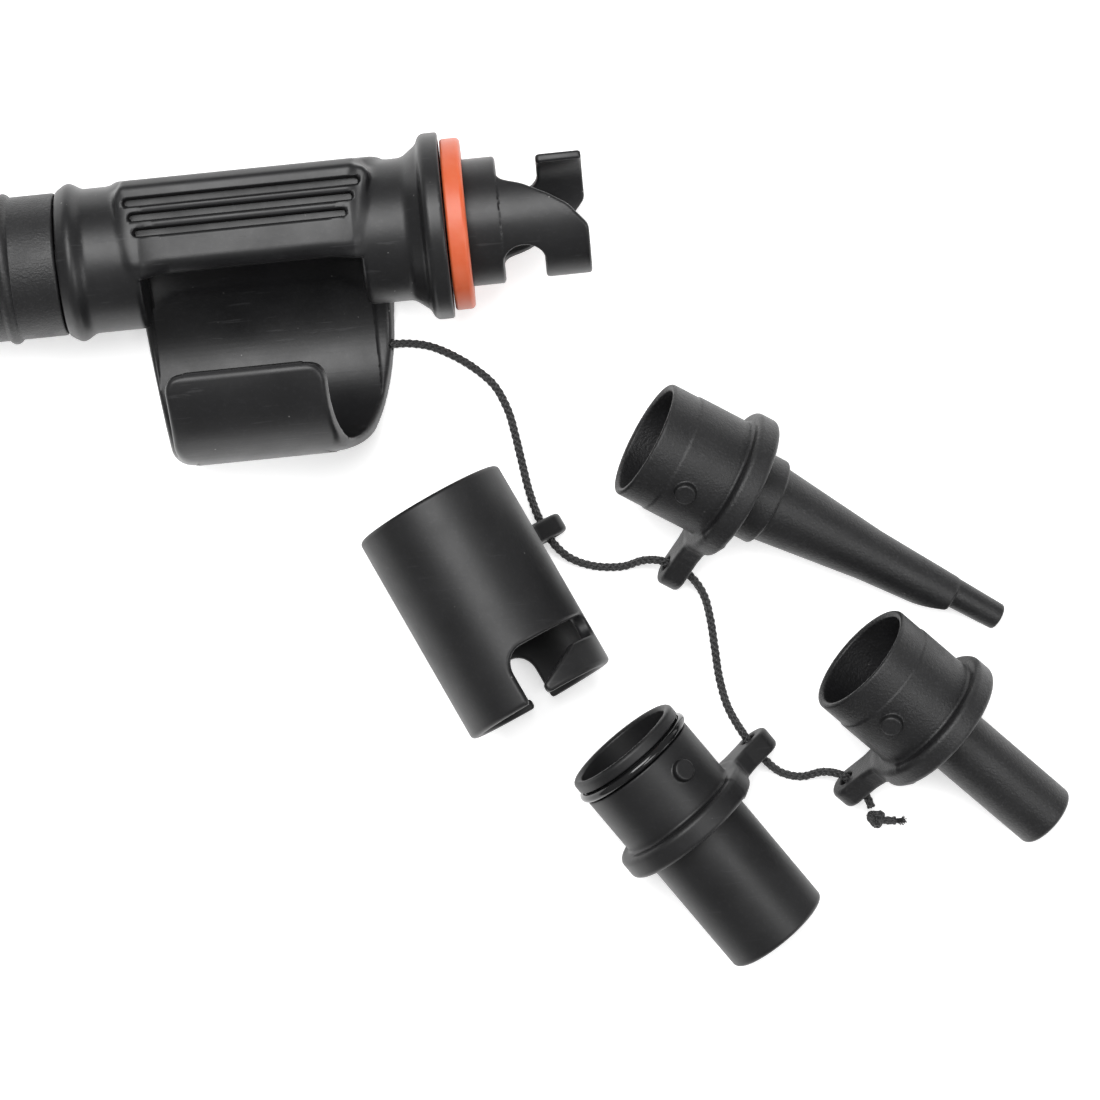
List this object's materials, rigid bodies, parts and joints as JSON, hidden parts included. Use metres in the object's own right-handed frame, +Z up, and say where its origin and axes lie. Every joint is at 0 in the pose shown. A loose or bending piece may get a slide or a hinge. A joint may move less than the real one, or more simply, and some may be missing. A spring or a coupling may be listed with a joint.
{
  "type": "air mattress pump hose end with valve adapters",
  "caption": "Bayonet hose end of an electric inflation pump: clip body, orange seal, ribbed hose and valve adapters on a braided tether.",
  "frame": {"origin": "on the table under the middle of the rigid pieces' bounding box, without the hose and the tether", "axes": "+X along the fitting's axis towards its mouth, +Z up from the table"},
  "size_m": [0.5187, 0.3449, 0.0409],
  "materials": {
    "black_plastic": "satin moulded black plastic",
    "satin_plastic": "smooth satin black plastic",
    "grained_plastic": "fine spark-grain black plastic",
    "hose_plastic": "ribbed flexible black plastic",
    "black_rubber": "glossy black rubber",
    "orange_seal": "soft translucent orange silicone",
    "steel": "plain steel",
    "braid": "braided black cord"
  },
  "bodies": {
    "fitting": {"fitting_body": "black_plastic", "bayonet_nozzle": "black_plastic", "nozzle_o_ring": "black_rubber", "valve_seal": "orange_seal", "swivel_o_ring": "black_rubber", "swivel_snap_ring": "steel", "hose": "hose_plastic", "pump_end_cuff": "grained_plastic", "tether_cord": "braid", "tether_end_knot": "braid"},
    "hose_end": {"hose_cuff": "grained_plastic"},
    "pump_end": {"pump_end_connector": "black_plastic", "pump_end_o_ring": "black_rubber"},
    "sleeve": {"sleeve_adapter": "satin_plastic", "sleeve_pin_a": "steel", "sleeve_pin_b": "steel"},
    "tapered": {"tapered_adapter": "grained_plastic"},
    "straight": {"straight_adapter": "grained_plastic"},
    "large": {"large_adapter": "satin_plastic", "large_adapter_o_ring": "black_rubber"}
  },
  "joints": [
    {"name": "hose_cuff_swivel", "type": "hinge", "parent": "fitting", "child": "hose_end", "pos_m": [-0.08676, 0.0653, 0.01805], "axis": [1, 0, 0], "continuous": true},
    {"name": "pump_connector_swivel", "type": "hinge", "parent": "fitting", "child": "pump_end", "pos_m": [0.10523, -0.2347, 0.0168], "axis": [1, 0, 0], "continuous": true},
    {"name": "sleeve_tips_up_on_cord", "type": "hinge", "parent": "fitting", "child": "sleeve", "pos_m": [0.01264, 0.00476, 0.00373], "axis": [-0.4089, 0.9099, -0.0698], "range_deg": [0, 40]},
    {"name": "tapered_tips_up_on_cord", "type": "hinge", "parent": "fitting", "child": "tapered", "pos_m": [0.03709, -0.00528, 0.00438], "axis": [0.8227, -0.5302, -0.2051], "range_deg": [0, 15]},
    {"name": "straight_tips_up_on_cord", "type": "hinge", "parent": "fitting", "child": "straight", "pos_m": [0.06758, -0.05115, 0.00446], "axis": [0.6708, -0.6898, -0.2723], "range_deg": [0, 45]},
    {"name": "large_tips_up_on_cord", "type": "hinge", "parent": "fitting", "child": "large", "pos_m": [0.04898, -0.04193, 0.00428], "axis": [-0.5562, 0.8184, 0.1448], "range_deg": [0, 25]}
  ]
}
